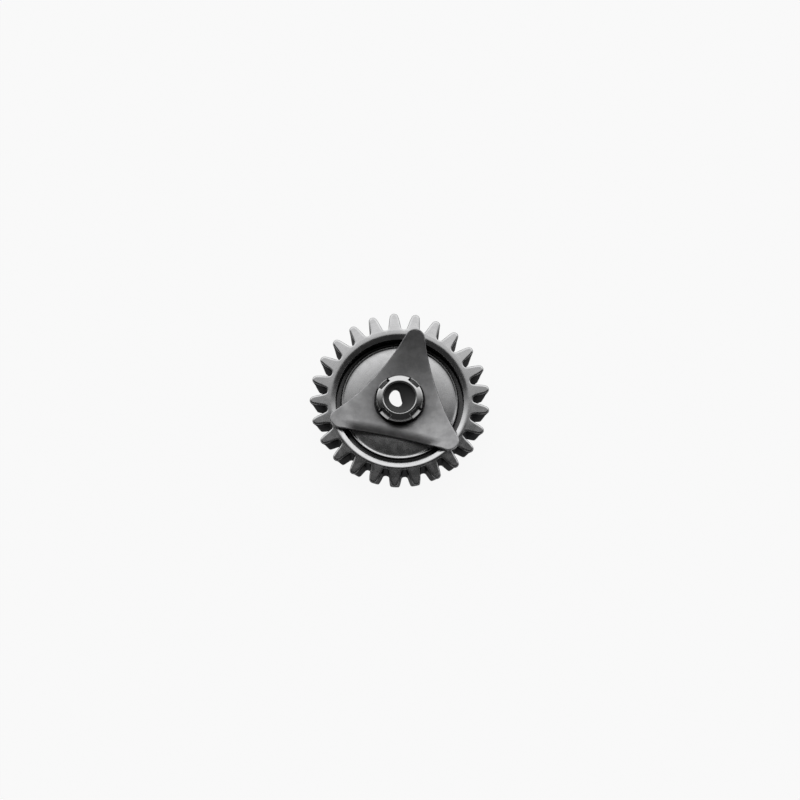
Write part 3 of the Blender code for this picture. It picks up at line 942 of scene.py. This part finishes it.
def rolled_spring_steel():
    """Dark satin sheet with a faint rolling grain and soft clouds."""
    material, s = new_material("rolled_spring_steel")
    place = s.place()
    x, y, z = s.split(place)
    along = x * ROLLED_ALONG[0] + y * ROLLED_ALONG[1]
    across = x * ROLLED_ACROSS[0] - y * ROLLED_ACROSS[1]
    rolled = s.noise(s.combine(along, across, 0.0), scale=1.0, detail=2.0)
    grain = s.noise(place, scale=11.0, detail=3.0, roughness=0.5)
    clouds = s.smooth(s.noise(place, scale=4.5, detail=4.0, roughness=0.6), low=0.30, high=0.70)
    colour = s.colours(clouds, SPRING_DARKER, SPRING_LIGHTER)
    roughness = 0.43 + rolled * 0.06 + grain * 0.06
    sheet = s.bump(rolled, depth=0.0012)
    finish_steel(s, colour, roughness, s.bump(grain, depth=0.0020, below=sheet), SATIN_EDGE_TINT)
    return material


def floor_material():
    """Pale matt board. Seen directly or in metal it is near white, and it keeps the part's soft shadow."""
    material, s = new_material("pale_board")
    fibre = s.noise(s.place(), scale=9.0, detail=3.0)
    colour = s.colours(fibre, BOARD_DARKER, BOARD_LIGHTER)
    board = s.node("ShaderNodeBsdfPrincipled", {}, {"Base Color": colour, "Roughness": BOARD_ROUGHNESS})
    white = s.node("ShaderNodeEmission", {}, {"Color": (1, 1, 1, 1), "Strength": 1.0})
    names = ("Is Camera Ray", "Is Glossy Ray", "Is Transmission Ray")
    rays = [s.node("ShaderNodeLightPath", output=name) for name in names]
    seen = s.maths("MINIMUM", rays[0] + rays[1] + rays[2], 1.0)
    both = s.node("ShaderNodeMixShader", {}, {0: seen * BOARD_WHITE_SHARE, 1: board, 2: white})
    s.node("ShaderNodeOutputMaterial", {}, {"Surface": both})
    return material


def studio_world():
    """A bright back wall and a faint horizon under a dark ceiling, with soft edges between them."""
    world = bpy.data.worlds.new("studio")
    world.use_nodes = True
    s = Shader(world.node_tree)
    towards = s.node("ShaderNodeTexCoord", output="Generated")
    x, y, z = s.split(towards)
    back = s.smooth(y, low=0.12, high=0.62)
    low = 1 - s.smooth(z, low=0.05, high=0.45)
    level = CEILING_LIGHT + back * BACK_LIGHT + (1 - back) * low * HORIZON_LIGHT
    grey = s.combine(level, level, level)
    background = s.node("ShaderNodeBackground", {}, {"Color": grey})
    s.node("ShaderNodeOutputWorld", {}, {"Surface": background})
    bpy.context.scene.world = world


def add_floor():
    bpy.ops.mesh.primitive_plane_add(size=FLOOR_SIZE * MM, location=(0, 0, -FLOOR_DROP * MM))
    floor = bpy.context.object
    floor.name = "floor"
    floor.data.materials.append(floor_material())


def add_camera():
    back = Vector((0, -math.cos(ELEVATION), math.sin(ELEVATION)))
    upwards = Vector((0, math.sin(ELEVATION), math.cos(ELEVATION)))
    aim = Vector((AIM_OFFSET, 0, WHEEL_HEIGHT)) - upwards * AIM_OFFSET
    camera = bpy.data.cameras.new("camera")
    camera.lens = LENS
    camera.sensor_width = SENSOR
    camera.clip_start = NEAR_CLIP * MM
    camera.clip_end = FAR_CLIP * MM
    placed = bpy.data.objects.new("camera", camera)
    bpy.context.scene.collection.objects.link(placed)
    distance = FRAME_WIDTH * LENS / SENSOR
    placed.location = (aim + back * distance) * MM
    placed.rotation_euler = (math.pi / 2 - ELEVATION, 0, 0)
    bpy.context.scene.camera = placed


def dress(piece, material, node, body):
    piece.data.materials.append(material)
    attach(piece, body)
    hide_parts(node)


dress(wheel(), turned_wheel_steel(), "driving_wheel", "wheel")
dress(spring(), rolled_spring_steel(), "friction_spring", "hub")
dress(hub(), polished_hub_steel(), "riveted_hub", "hub")
add_floor()
studio_world()
add_camera()
bpy.context.scene.view_settings.view_transform = "Standard"
